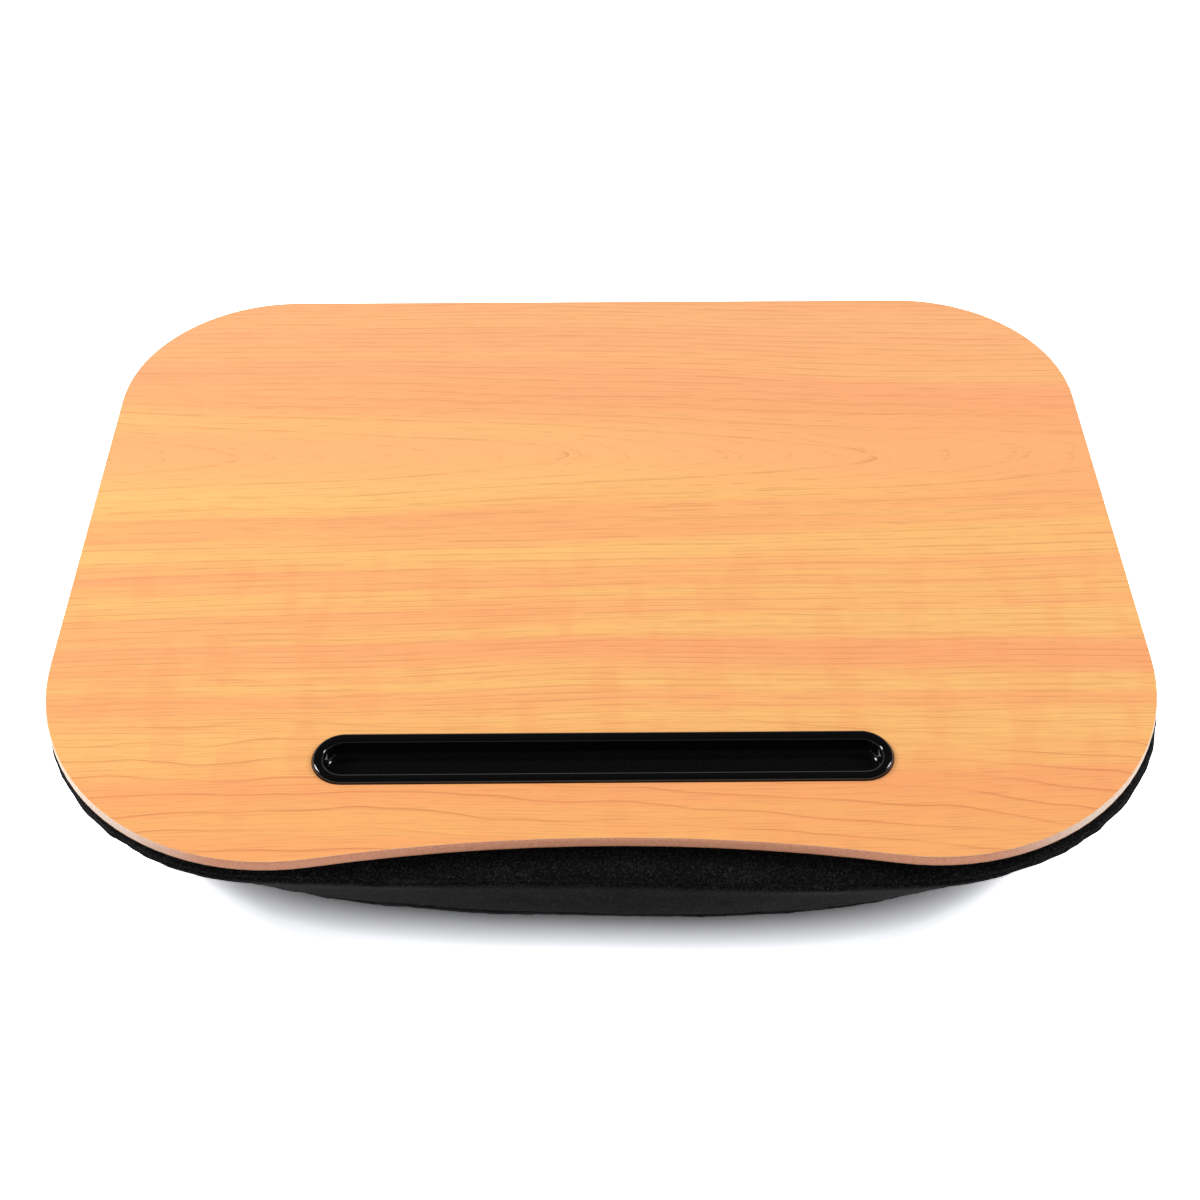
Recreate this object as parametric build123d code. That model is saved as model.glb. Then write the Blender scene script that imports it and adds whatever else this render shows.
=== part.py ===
from build123d import *
from math import cos, hypot, pi, sin, sqrt
import os

# A lap tray: a thin laminated board with a pressed-in pen tray, held by hook and loop
# on a boxed bead cushion with a zip in its back.
# Millimetres. X is the width, -Y is the edge nearest the user, Z = 0 is the underside.

# Board
board_width = 480.0
board_depth = 365.5
board_thickness = 5.0
foil_thickness = 0.3
back_corner_radius = 80.0
front_corner_radius = 106.0
scallop_depth = 10.6

# Pen tray
pen_tray_length = 241.0
pen_tray_width = 26.0
pen_tray_setback = 52.0
pen_rim_width = 4.7
pen_rim_height = 1.8
pen_rim_round_share = 0.8
pen_rebate_depth = 0.8
pen_wall = 1.2
pen_drop_below_board = 2.1
pen_floor_round = 2.6
pen_draft_degrees = 4.0
pen_hole_clearance = 0.35

# Hook and loop strips
strip_length = 120.0
strip_width = 25.0
hook_thickness = 1.2
loop_thickness = 1.2
strip_pitch_x = 250.0
strip_pen_tray_gap = 22.25
strip_back_setback = 75.75

# Cushion, measured inwards from the board's outline and up from the floor
cushion_height = 48.6
cover_thickness = 1.8
cover_proud = 1.2
liner_thickness = 0.6
loose_fit = 0.3
base_cut = 0.5
belly_height = 6.0
lower_seam_height = 14.0
upper_seam_height = 43.0

base_draw_in = 46.0
belly_draw_in = 17.5
lower_draw_in = 11.5
top_draw_in = 9.0
roll_steps = 5

front_base_draw_in = 27.0
front_belly_draw_in = 8.0
front_lower_draw_in = 3.4
front_middle_draw_in = 0.3

back_middle_draw_in = 3.2
back_bulge = 1.0

lower_front_corner_share = 0.383
lower_back_corner_share = 0.2845
lower_front_bow_radius = 700.0
middle_front_bow_radius = 1100.0
lower_side_bow_radius = 1100.0
upper_front_bow_radius = 9000.0
upper_side_bow_radius = 6000.0

# Zip in the back of the cushion
zip_panel_length = 240.0
zip_slot_height = 10.6
zip_end_gap = 8.0
tape_width = 8.6
tape_thickness = 0.7
tooth_pitch = 3.5
tooth_thickness = 2.4
tooth_reach = 0.9
tooth_root = 2.8
tooth_neck_reach = 0.6
tooth_shoulder_reach = 1.5
tooth_neck_width = 1.0
tooth_head_width = 1.8
zip_clearance = 0.3
stop_length = 3.0

# Zip slider and its pull
slider_length = 11.5
slider_front_width = 9.4
slider_rear_width = 8.2
slider_plate = 1.0
slider_corner = 1.4
divider_width = 1.8
divider_length = 3.2
arch_length = 5.0
arch_width = 2.0
arch_height = 2.6
arch_wall = 0.9
pin_radius = 0.6
pull_length = 23.0
pull_width = 6.4
pull_thickness = 1.1
pull_arm = 0.9
pull_hole_radius = 1.6

overrun = 1.0

# Places that follow from the sizes
half_width = board_width / 2
front_edge = -board_depth / 2
back_edge = board_depth / 2
lower_front_corner_radius = board_depth * lower_front_corner_share
lower_back_corner_radius = board_depth * lower_back_corner_share
hook_and_loop = hook_thickness + loop_thickness
board_underside = cushion_height + hook_and_loop
board_top = board_underside + board_thickness
core_bottom = board_underside + foil_thickness
core_top = board_top - foil_thickness
middle_height = (lower_seam_height + upper_seam_height) / 2
pen_tray_y = front_edge + pen_tray_setback
front_strip_y = pen_tray_y + pen_tray_width / 2 + strip_pen_tray_gap + strip_width / 2
back_strip_y = back_edge - strip_back_setback
back_face = back_edge - back_middle_draw_in
pen_mouth_length = pen_tray_length - pen_rim_width * 2
pen_mouth_width = pen_tray_width - pen_rim_width * 2
rim_top = board_top + pen_rim_height
rim_seat = board_top - pen_rebate_depth
slot_sag = back_bulge * (zip_slot_height / (upper_seam_height - lower_seam_height)) ** 2
tape_face = back_face - cover_thickness - slot_sag
tape_middle = tape_face - tape_thickness / 2
slider_face = tape_middle + tooth_thickness / 2 + zip_clearance + slider_plate
slider_inside = tape_middle * 2 - slider_face
zip_room = back_face - cover_thickness - slider_inside
slider_front = zip_panel_length / 2 - zip_end_gap - stop_length - zip_clearance
slider_rear = slider_front - slider_length
chain_start = zip_end_gap + stop_length - zip_panel_length / 2
chain_end = slider_front - divider_length - zip_clearance
pin_x = (slider_front + slider_rear) / 2
pin_y = slider_face + (arch_height - arch_wall) / 2


def arc_between(center, radius, start, end):
    """The shorter arc about a centre, from one point to another."""
    way_x = start[0] + end[0] - center[0] * 2
    way_y = start[1] + end[1] - center[1] * 2
    reach = radius / hypot(way_x, way_y)
    middle = (center[0] + way_x * reach, center[1] + way_y * reach)
    return ThreePointArc(start, middle, end)


def toward(center, point, radius):
    """The point at a radius from a centre, on the way to another point."""
    reach = radius / hypot(point[0] - center[0], point[1] - center[1])
    return (
        center[0] + (point[0] - center[0]) * reach,
        center[1] + (point[1] - center[1]) * reach,
    )


def mirrored(point):
    return (-point[0], point[1])


def board_outline():
    """The board's plan: straight back and sides, round corners and a shallow front scallop."""
    back_x = half_width - back_corner_radius
    front_x = half_width - front_corner_radius
    back_center = (back_x, back_edge - back_corner_radius)
    front_center = (front_x, front_edge + front_corner_radius)
    reach = (front_x**2 + scallop_depth**2) / (scallop_depth * 2)
    scallop_radius = reach - front_corner_radius
    scallop_center = (front_center[0] - front_x, front_edge + scallop_depth - scallop_radius)
    meet = toward(front_center, scallop_center, front_corner_radius)
    back_end = (back_x, back_edge)
    side_back = (half_width, back_center[1])
    side_front = (half_width, front_center[1])
    left_back_center = mirrored(back_center)
    left_front_center = mirrored(front_center)
    edges = [
        arc_between(scallop_center, scallop_radius, mirrored(meet), meet),
        arc_between(front_center, front_corner_radius, meet, side_front),
        Line(side_front, side_back),
        arc_between(back_center, back_corner_radius, side_back, back_end),
        Line(back_end, mirrored(back_end)),
        arc_between(left_back_center, back_corner_radius, mirrored(back_end), mirrored(side_back)),
        Line(mirrored(side_back), mirrored(side_front)),
        arc_between(left_front_center, front_corner_radius, mirrored(side_front), mirrored(meet)),
    ]
    return make_face(Curve() + edges)


def corner_center(front_center, front_radius, side_center, side_radius, corner):
    """Centre of a corner arc that meets a bowed front and a bowed side without a kink."""
    near = front_radius - corner
    far = side_radius - corner
    dx = side_center[0] - front_center[0]
    dy = side_center[1] - front_center[1]
    apart = hypot(dx, dy)
    along = (apart**2 + near**2 - far**2) / (apart * 2)
    across = sqrt(near**2 - along**2)
    return (
        front_center[0] + (dx * along - dy * across) / apart,
        front_center[1] + (dy * along + dx * across) / apart,
    )


def cushion_outline(height, side, front, back, front_corner, back_corner, front_bow, side_bow):
    """A level of the cushion: bowed front and sides, a straight back and round corners."""
    right = half_width - side
    front_y = front_edge + front
    back_y = back_edge - back
    front_arc = (0, front_y + front_bow)
    side_arc = (right - side_bow, (front_y + back_y) / 2)
    front_round = corner_center(front_arc, front_bow, side_arc, side_bow, front_corner)
    rise = back_y - back_corner - side_arc[1]
    back_round = (side_arc[0] + sqrt((side_bow - back_corner) ** 2 - rise**2), back_y - back_corner)
    front_meet = toward(front_arc, front_round, front_bow)
    side_front = toward(side_arc, front_round, side_bow)
    side_back = toward(side_arc, back_round, side_bow)
    back_meet = (back_round[0], back_y)
    left = [mirrored(p) for p in (front_meet, side_front, side_back, back_meet)]
    edges = [
        arc_between(front_arc, front_bow, left[0], front_meet),
        arc_between(front_round, front_corner, front_meet, side_front),
        arc_between(side_arc, side_bow, side_front, side_back),
        arc_between(back_round, back_corner, side_back, back_meet),
        Line(back_meet, left[3]),
        arc_between(mirrored(back_round), back_corner, left[3], left[2]),
        arc_between(mirrored(side_arc), side_bow, left[2], left[1]),
        arc_between(mirrored(front_round), front_corner, left[1], left[0]),
    ]
    return Pos(0, 0, height) * make_face(Curve() + edges)


def lower_level(height, side, front, back, inset, behind):
    return cushion_outline(
        height,
        side + inset,
        front + inset,
        back + inset + behind,
        lower_front_corner_radius - inset,
        lower_back_corner_radius - inset,
        lower_front_bow_radius - inset,
        lower_side_bow_radius - inset,
    )


def upper_level(height, side, front, back, inset, behind):
    return cushion_outline(
        height,
        side + inset,
        front + inset,
        back + inset + behind,
        front_corner_radius - inset,
        back_corner_radius - inset,
        upper_front_bow_radius - inset,
        upper_side_bow_radius - inset,
    )


def middle_level(inset, behind):
    """The widest level of the side band, halfway between the two seams."""
    return cushion_outline(
        middle_height,
        inset - cover_proud / 2,
        front_middle_draw_in + inset,
        back_middle_draw_in + inset + behind,
        (lower_front_corner_radius + front_corner_radius) / 2 - inset,
        (lower_back_corner_radius + back_corner_radius) / 2 - inset,
        middle_front_bow_radius - inset,
        (lower_side_bow_radius + upper_side_bow_radius) / 2 - inset,
    )


def lower_seam(inset, behind):
    back = back_middle_draw_in + back_bulge
    return lower_level(lower_seam_height, lower_draw_in, front_lower_draw_in, back, inset, behind)


def upper_seam(inset, behind):
    back = back_middle_draw_in + back_bulge
    return upper_level(upper_seam_height, -cover_proud, 0, back, inset, behind)


def bottom_form(inset, behind):
    """The crowned underside, from the floor up to the lower seam."""
    rise = inset * (lower_seam_height - belly_height) / lower_seam_height
    base = lower_level(
        inset - base_cut, base_draw_in, front_base_draw_in, front_base_draw_in, inset, behind
    )
    belly = lower_level(
        belly_height + rise, belly_draw_in, front_belly_draw_in, front_belly_draw_in, inset, behind
    )
    form = loft([base, belly, lower_seam(inset, behind)])
    return split(form, bisect_by=Plane.XY.offset(inset), keep=Keep.TOP)


def band_form(inset, behind):
    """The upright sides, a little fuller at the middle than at either seam."""
    return loft([lower_seam(inset, behind), middle_level(inset, behind), upper_seam(inset, behind)])


def top_form(inset, behind):
    """The rolled upper edge, a quarter of an ellipse in short steps, and the flat top."""
    back = back_middle_draw_in + back_bulge
    rise = cushion_height - inset - upper_seam_height
    levels = []
    for step in range(roll_steps + 1):
        turn = pi / 2 * step / roll_steps
        height = upper_seam_height + rise * sin(turn)
        draw_in = top_draw_in * (1 - cos(turn))
        side = draw_in - cover_proud
        levels.append(upper_level(height, side, draw_in, back + draw_in, inset, behind))
    return loft(levels, ruled=True)


def stadium(length, width):
    return SlotOverall(length, width)


def strips(bottom, thickness):
    """Four rectangular strips of hook or of loop, two at the front and two at the back."""
    strip = extrude(Rectangle(strip_length, strip_width), amount=thickness)
    rows = [Pos(0, y, bottom) for y in (front_strip_y, back_strip_y)]
    return [row * place * strip for row in rows for place in GridLocations(strip_pitch_x, 0, 2, 1)]


def pen_tray():
    """A moulded channel dropped through the board, its half-round rim seated in a rebate."""
    rim_round = pen_rim_height * pen_rim_round_share
    well_bottom = board_underside - pen_drop_below_board
    rim = extrude(stadium(pen_tray_length, pen_tray_width), amount=rim_top - rim_seat)
    rim = Pos(0, 0, rim_seat) * rim
    shell = extrude(
        stadium(pen_mouth_length + pen_wall * 2, pen_mouth_width + pen_wall * 2),
        amount=-(rim_top - rim_round - well_bottom),
        taper=pen_draft_degrees,
    )
    shell = Pos(0, 0, rim_top - rim_round) * shell
    shell = fillet(shell.edges().group_by(Axis.Z)[0], pen_floor_round + pen_wall / 2)
    hollow = extrude(
        stadium(pen_mouth_length, pen_mouth_width),
        amount=-(rim_top - well_bottom - pen_wall),
        taper=pen_draft_degrees,
    )
    hollow = Pos(0, 0, rim_top) * hollow
    hollow = fillet(hollow.edges().group_by(Axis.Z)[0], pen_floor_round)
    tray = rim + shell - hollow
    tray = fillet(tray.edges().group_by(Axis.Z)[-1], rim_round)
    return Pos(0, pen_tray_y, 0) * tray


def pen_hole(length, width):
    """The outline of a long hole that clears part of the pen tray all round."""
    clear = pen_hole_clearance * 2
    return Pos(0, pen_tray_y) * stadium(length + clear, width + clear)


def board_layer(bottom, thickness, hole):
    return Pos(0, 0, bottom) * extrude(board_outline() - hole, amount=thickness)


def board_layers():
    """The core and its two foils, with the rim's rebate cut through the top foil into the core."""
    well_hole = pen_hole(pen_mouth_length + pen_wall * 2, pen_mouth_width + pen_wall * 2)
    rim_hole = pen_hole(pen_tray_length, pen_tray_width)
    rebate = Pos(0, 0, rim_seat) * extrude(rim_hole, amount=pen_rebate_depth)
    return {
        "board_core": board_layer(core_bottom, core_top - core_bottom, well_hole) - rebate,
        "woodgrain_foil": board_layer(core_top, foil_thickness, rim_hole),
        "backing_foil": board_layer(board_underside, foil_thickness, well_hole),
    }


def block(low, high):
    """A box between two opposite corners."""
    size = [b - a for a, b in zip(low, high)]
    return Pos(*low) * Box(*size, align=Align.MIN)


def band_shell():
    return band_form(0, 0) - band_form(cover_thickness, 0)


def zip_window(low, high):
    """The stretch of the side band, between two heights, that the zip panels take up."""
    half = zip_panel_length / 2
    return block((-half, back_face - zip_room * 3, low), (half, back_edge + overrun, high))


def tape_pocket():
    """The flat seat that the tapes press into the inside of the zip panels."""
    half = zip_panel_length / 2 + overrun
    reach = tooth_root + tape_width + zip_clearance
    low = (-half, tape_face - zip_room, middle_height - reach)
    return block(low, (half, tape_face, middle_height + reach))


def zip_panel(low, high):
    return (band_shell() & zip_window(low, high)) - tape_pocket()


def zip_tape(side):
    """A woven tape, above the teeth (side 1) or below them (side -1)."""
    half = zip_panel_length / 2
    heights = sorted(middle_height + side * reach for reach in (tooth_root, tooth_root + tape_width))
    return block((-half, tape_face - tape_thickness, heights[0]), (half, tape_face, heights[1]))


def upright(plan, start, thickness):
    """A plan drawn in X and Z about the zip's line, as thick as given from a depth outwards."""
    plane = Plane(origin=(0, start + thickness, middle_height), x_dir=(1, 0, 0), z_dir=(0, -1, 0))
    return plane * extrude(plan, amount=thickness)


def tooth(side):
    """One moulded tooth: a broad root, a narrow neck and a head that hooks past the middle."""
    neck = tooth_neck_width / 2
    head = tooth_head_width / 2
    reaches = [-tooth_reach, tooth_neck_reach, tooth_shoulder_reach, tooth_root]
    halves = [head, neck, head, head]
    points = [(half, side * reach) for half, reach in zip(halves, reaches)]
    points += [(-x, y) for x, y in reversed(points)]
    plan = make_face(Polyline(*points, close=True))
    return upright(plan, tape_middle - tooth_thickness / 2, tooth_thickness)


def zip_teeth(side):
    """A row of teeth, the upper one (side 1) half a pitch behind the lower (side -1)."""
    first = chain_start + tooth_head_width / 2 + (tooth_pitch / 2 if side > 0 else 0)
    count = int((chain_end - tooth_head_width / 2 - first) / tooth_pitch) + 1
    single = tooth(side)
    return [Pos(first + tooth_pitch * n, 0, 0) * single for n in range(count)]


def end_stop(left, low, high):
    """A block that grips the tape beyond the last tooth, between two reaches from the middle."""
    back = tape_middle - tooth_thickness / 2
    return block(
        (left, back, middle_height + low),
        (left + stop_length, back + tooth_thickness, middle_height + high),
    )


def top_stops():
    left = slider_front + zip_clearance
    inner = divider_width / 2
    return [end_stop(left, inner, tooth_root), end_stop(left, -tooth_root, -inner)]


def slider_plan():
    """The slider seen from outside, wider at its mouth than at its tail."""
    front = slider_front_width / 2
    rear = slider_rear_width / 2
    points = [(slider_rear, -rear), (slider_front, -front), (slider_front, front), (slider_rear, rear)]
    plan = make_face(Polyline(*points, close=True))
    return fillet(plan.vertices(), slider_corner)


def zip_slider():
    """Two plates with turned-in sides, joined by the divider, with an arch for the pull."""
    chain_gap = tooth_thickness / 2 + zip_clearance
    tape_gap = tape_thickness / 2 + zip_clearance
    channel = tooth_root + zip_clearance
    plan = slider_plan()
    middle_x = (slider_front + slider_rear) / 2
    sides = plan - Pos(middle_x, 0) * Rectangle(slider_length + overrun, channel * 2)
    outer = upright(plan, tape_middle + chain_gap, slider_plate)
    inner = upright(plan, tape_middle - chain_gap - slider_plate, slider_plate)
    outer_sides = upright(sides, tape_middle + tape_gap, chain_gap - tape_gap)
    inner_sides = upright(sides, tape_middle - chain_gap, chain_gap - tape_gap)
    tip = slider_front - divider_length
    wedge = [(tip, 0), (slider_front - slider_corner, -divider_width / 2)]
    wedge += [(slider_front - slider_corner, divider_width / 2)]
    divider = upright(make_face(Polyline(*wedge, close=True)), tape_middle - chain_gap, chain_gap * 2)
    arch = Pos(pin_x, slider_face + arch_height / 2) * Rectangle(arch_length, arch_height)
    arch = fillet(arch.vertices().group_by(Axis.Y)[-1], arch_wall)
    eye_height = arch_height - arch_wall
    eye = Pos(pin_x, slider_face + eye_height / 2) * Rectangle(arch_length - arch_wall * 2, eye_height)
    arch = Pos(0, 0, middle_height - arch_width / 2) * extrude(arch - eye, amount=arch_width)
    return outer + inner + outer_sides + inner_sides + divider + arch


def zip_pull():
    """A flat tab on two arms, with the pin that turns in the slider's arch."""
    inner = arch_width / 2 + zip_clearance
    reach = inner + pull_arm
    shoulder = hypot(arch_length / 2, slider_face + arch_height - pin_y) + zip_clearance
    tab_length = pull_length - shoulder
    tab = Pos(pin_x - shoulder - tab_length / 2, 0) * Rectangle(tab_length, pull_width)
    tab = fillet(tab.vertices().group_by(Axis.X)[0], pull_width / 3)
    tab = fillet(tab.vertices().group_by(Axis.X)[-1], pull_arm)
    tab -= Pos(pin_x - pull_length + pull_width / 2, 0) * Circle(pull_hole_radius)
    arm = Pos(pin_x - (shoulder + pull_arm) / 2, 0) * Rectangle(shoulder + pull_arm, pull_arm)
    for place in GridLocations(0, inner + reach, 1, 2):
        tab += place * arm
    flat = upright(tab, pin_y - pull_thickness / 2, pull_thickness)
    pin = Pos(pin_x, pin_y, middle_height) * Cylinder(pin_radius, reach * 2)
    return flat + pin


def whole_form(inset):
    """The cushion from floor to top, drawn in by an inset and held clear of the zip."""
    return bottom_form(inset, zip_room) + band_form(inset, zip_room) + top_form(inset, zip_room)


def cushion_parts():
    """The cover's panels, the inner bag and its beads."""
    band = band_shell() - zip_window(lower_seam_height - overrun, upper_seam_height + overrun)
    slot = zip_slot_height / 2
    bag = cover_thickness + loose_fit
    beads = bag + liner_thickness
    packed = beads + loose_fit
    return {
        "cover_bottom_panel": bottom_form(0, 0) - bottom_form(cover_thickness, 0),
        "cover_side_band": band,
        "cover_top_panel": top_form(0, 0) - top_form(cover_thickness, 0),
        "zip_panel_upper": zip_panel(middle_height + slot, upper_seam_height + overrun),
        "zip_panel_lower": zip_panel(lower_seam_height - overrun, middle_height - slot),
        "bead_bag": whole_form(bag) - whole_form(beads),
        "bead_filling": whole_form(packed),
    }


parts = {
    "pen_tray": pen_tray(),
    "hook_strips": strips(board_underside - hook_thickness, hook_thickness),
    "loop_strips": strips(cushion_height, loop_thickness),
    "zip_tape_upper": zip_tape(1),
    "zip_tape_lower": zip_tape(-1),
    "zip_teeth_upper": zip_teeth(1),
    "zip_teeth_lower": zip_teeth(-1),
    "zip_top_stops": top_stops(),
    "zip_bottom_stop": end_stop(chain_start - zip_clearance - stop_length, -tooth_root, tooth_root),
    "zip_slider": zip_slider(),
    "zip_pull": zip_pull(),
} | board_layers() | cushion_parts()

os.makedirs("parts", exist_ok=True)
for name, shape in parts.items():
    solids = shape if isinstance(shape, list) else shape.solids()
    export_step(Compound(children=list(solids)), f"parts/{name}.step")
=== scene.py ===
import math

import bpy
import numpy as np
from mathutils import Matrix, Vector, noise


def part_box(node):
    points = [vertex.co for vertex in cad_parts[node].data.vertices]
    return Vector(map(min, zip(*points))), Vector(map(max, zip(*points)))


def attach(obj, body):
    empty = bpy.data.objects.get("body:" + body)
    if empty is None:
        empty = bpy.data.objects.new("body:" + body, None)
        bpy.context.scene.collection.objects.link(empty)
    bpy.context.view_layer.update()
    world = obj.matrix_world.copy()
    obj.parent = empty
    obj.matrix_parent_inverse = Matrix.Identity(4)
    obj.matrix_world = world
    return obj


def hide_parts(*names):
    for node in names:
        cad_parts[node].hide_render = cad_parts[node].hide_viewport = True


# A lap tray: a woodgrain board with a pressed-in pen tray, on a black felt cushion filled with beads.
# Metres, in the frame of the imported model. X is the width, -Y is the edge nearest the user.

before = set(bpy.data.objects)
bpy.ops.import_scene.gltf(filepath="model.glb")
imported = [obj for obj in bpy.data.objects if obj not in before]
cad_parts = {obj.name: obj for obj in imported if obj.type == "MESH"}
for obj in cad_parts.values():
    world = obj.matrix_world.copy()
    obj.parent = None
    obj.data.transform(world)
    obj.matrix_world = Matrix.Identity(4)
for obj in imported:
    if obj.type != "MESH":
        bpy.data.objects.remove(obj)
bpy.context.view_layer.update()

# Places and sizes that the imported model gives
pen_low, pen_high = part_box("pen_tray")
band_low, band_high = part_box("cover_side_band")
zip_panel_low, zip_panel_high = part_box("zip_panel_upper")
strips_low, strips_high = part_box("loop_strips")
BOARD_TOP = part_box("woodgrain_foil")[1][2]
CUSHION_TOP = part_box("cover_top_panel")[1][2]
PEN_TRAY_Y = (pen_low[1] + pen_high[1]) / 2
PEN_HALF_WIDTH = (pen_high[1] - pen_low[1]) / 2
PEN_HALF_STRAIGHT = pen_high[0] - PEN_HALF_WIDTH
LOWER_SEAM, UPPER_SEAM = band_low[2], band_high[2]
ZIP_HEIGHT = (LOWER_SEAM + UPPER_SEAM) / 2
ZIP_HALF_LENGTH = zip_panel_high[0]
ZIP_SLOT_HALF = zip_panel_low[2] - ZIP_HEIGHT

# Four hook and loop strips, in two rows: each one's size, and how far out its middle is
STRIP_HALF_LENGTH = 0.06
STRIP_HALF_WIDTH = 0.0125
STRIP_X = strips_high[0] - STRIP_HALF_LENGTH
STRIP_ROWS_MIDDLE = (strips_low[1] + strips_high[1]) / 2
STRIP_ROW_OFF = strips_high[1] - STRIP_HALF_WIDTH - STRIP_ROWS_MIDDLE

FELT_THICKNESS = 0.0017

# The gap left between two faces, the distance at which two points are one, and the least divisor
HAIR = 0.0002
SAME_PLACE = 0.00001
TINY = 1e-9


# Selecting and shaping


def deselect():
    if bpy.context.object and bpy.context.object.mode != "OBJECT":
        bpy.ops.object.mode_set(mode="OBJECT")
    bpy.ops.object.select_all(action="DESELECT")


def pick(obj):
    """Makes obj the only selected object."""
    deselect()
    obj.select_set(True)
    bpy.context.view_layer.objects.active = obj


def edit(obj, everything=False):
    """Opens obj in edit mode, with all of it or none of it selected."""
    pick(obj)
    bpy.ops.object.mode_set(mode="EDIT")
    bpy.ops.mesh.select_all(action="SELECT" if everything else "DESELECT")


def close_edit():
    bpy.ops.object.mode_set(mode="OBJECT")


def select_points(obj, test):
    """In edit mode, selects the points whose place passes the test, and nothing else."""
    bpy.ops.mesh.select_mode(type="VERT")
    bpy.ops.mesh.select_all(action="DESELECT")
    bpy.ops.object.mode_set(mode="OBJECT")
    for point in obj.data.vertices:
        point.select = test(point.co)
    bpy.ops.object.mode_set(mode="EDIT")


def select_faces(obj, test):
    """In edit mode, selects the faces whose middle passes the test, and nothing else."""
    bpy.ops.mesh.select_mode(type="FACE")
    bpy.ops.mesh.select_all(action="DESELECT")
    bpy.ops.object.mode_set(mode="OBJECT")
    for face in obj.data.polygons:
        face.select = test(face.center)
    bpy.ops.object.mode_set(mode="EDIT")


def cut(height=None, width=None):
    """Cuts the selected faces by a level or an upright plane, and keeps all of them."""
    if height is not None:
        bpy.ops.mesh.bisect(plane_co=(0, 0, height), plane_no=(0, 0, 1))
    else:
        bpy.ops.mesh.bisect(plane_co=(width, 0, 0), plane_no=(1, 0, 0))


def finish_modifier(obj, kind, **settings):
    """Adds a modifier with its settings and applies it."""
    pick(obj)
    modifier = obj.modifiers.new(kind.lower(), kind)
    for name, value in settings.items():
        setattr(modifier, name, value)
    bpy.ops.object.modifier_apply(modifier=modifier.name)


def settle(obj):
    """Applies obj's place, turn and size, so that the place is in its mesh."""
    pick(obj)
    bpy.ops.object.transform_apply(location=True, rotation=True, scale=True)


def smooth(obj, angle=40):
    pick(obj)
    bpy.ops.object.shade_smooth_by_angle(angle=math.radians(angle))


def copy_of_node(node, name):
    """A CAD node's form as a new piece, with its loose triangles merged."""
    obj = bpy.data.objects.new(name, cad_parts[node].data.copy())
    obj.data.materials.clear()
    bpy.context.scene.collection.objects.link(obj)
    edit(obj, everything=True)
    bpy.ops.mesh.remove_doubles(threshold=SAME_PLACE)
    close_edit()
    return obj


def copy_of_piece(obj, name):
    twin = bpy.data.objects.new(name, obj.data.copy())
    bpy.context.scene.collection.objects.link(twin)
    return twin


def places(obj):
    spots = np.empty(len(obj.data.vertices) * 3)
    obj.data.vertices.foreach_get("co", spots)
    return spots.reshape(-1, 3)


def put(obj, spots):
    obj.data.vertices.foreach_set("co", spots.ravel())
    obj.data.update()


def normals(obj):
    return np.array([point.normal for point in obj.data.vertices])


def ramp(value, low, high):
    """0 at low, 1 at high, and an even curve between."""
    share = np.clip((value - low) / (high - low), 0, 1)
    return share * share * (3 - 2 * share)


# Materials


def colour(code):
    """An sRGB hex value as the linear colour that a shader takes."""
    shares = [int(code[i : i + 2], 16) / 255 for i in (1, 3, 5)]
    return [c / 12.92 if c <= 0.04045 else ((c + 0.055) / 1.055) ** 2.4 for c in shares] + [1]


def add(tree, kind, inputs=None, give=0, stops=None, **settings):
    """Adds a node with its settings, stops and links, and returns the output that is asked for."""
    made = tree.nodes.new("ShaderNode" + kind)
    for name, value in settings.items():
        setattr(made, name, value)
    for name, value in (inputs or {}).items():
        if isinstance(value, bpy.types.NodeSocket):
            tree.links.new(value, made.inputs[name])
        else:
            made.inputs[name].default_value = value
    for number, (place, code) in enumerate(stops or []):
        element = made.color_ramp.elements[number] if number < 2 else made.color_ramp.elements.new(place)
        element.position = place
        element.color = colour(code)
    return made.outputs[give] if len(made.outputs) else None


def new_material(name):
    material = bpy.data.materials.new(name)
    material.use_nodes = True
    material.node_tree.nodes.clear()
    return material, material.node_tree


# Settings that many nodes share: a soft step, a flat noise, a mix of colours
SOFT = {"interpolation_type": "SMOOTHSTEP"}
FLAT = {"noise_dimensions": "2D"}
TINT = {"give": 2, "data_type": "RGBA"}


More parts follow.
